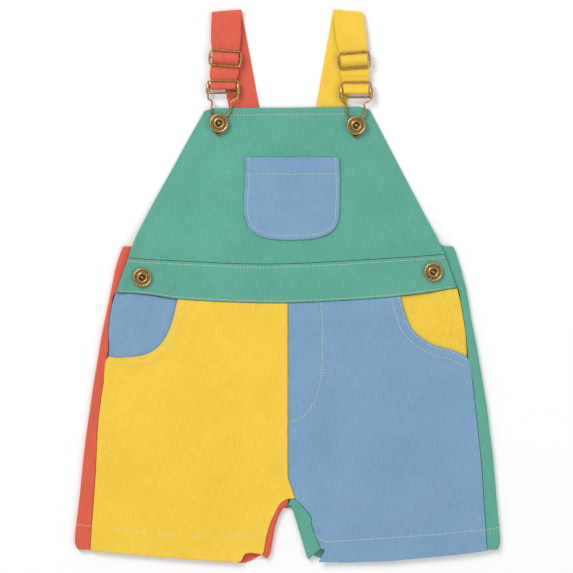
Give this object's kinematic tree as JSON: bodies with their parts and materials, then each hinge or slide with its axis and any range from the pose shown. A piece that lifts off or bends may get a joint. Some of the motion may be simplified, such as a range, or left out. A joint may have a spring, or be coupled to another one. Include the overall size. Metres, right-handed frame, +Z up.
{
  "type": "shortalls",
  "caption": "Toddler's short overalls in colour-blocked cotton, laid flat: bib, patch pocket, scoop pockets, adjustable straps with wire buckles and tack buttons.",
  "frame": {"origin": "centre of the garment's box, on the table it lies on", "axes": "+Z up from the table out of the garment's front, +Y from the leg hems to the shoulders, +X to the wearer's left"},
  "size_m": [0.34, 0.4426, 0.0081],
  "materials": {
    "red_cloth": "plain-weave cotton twill, coral red",
    "green_cloth": "plain-weave cotton twill, sea green",
    "yellow_cloth": "plain-weave cotton twill, warm yellow",
    "blue_cloth": "plain-weave cotton twill, soft blue",
    "antique_brass": "antiqued brass, dark in the hollows and bright on the edges"
  },
  "bodies": {
    "root": {"back_leg_right": "red_cloth", "back_leg_left": "green_cloth", "front_leg_right": "yellow_cloth", "front_leg_left": "blue_cloth", "pocket_facing_right": "blue_cloth", "pocket_facing_left": "yellow_cloth", "waistband_front": "green_cloth", "bib": "green_cloth", "bib_pocket": "blue_cloth", "strap_right": "red_cloth", "strap_left": "yellow_cloth", "slide_right": "antique_brass", "slide_left": "antique_brass", "buckle_plate_right": "antique_brass", "buckle_plate_left": "antique_brass", "buckle_wire_right": "antique_brass", "buckle_wire_left": "antique_brass", "button_bib_right": "antique_brass", "button_bib_left": "antique_brass", "button_side_right": "antique_brass", "button_side_left": "antique_brass"}
  },
  "joints": []
}
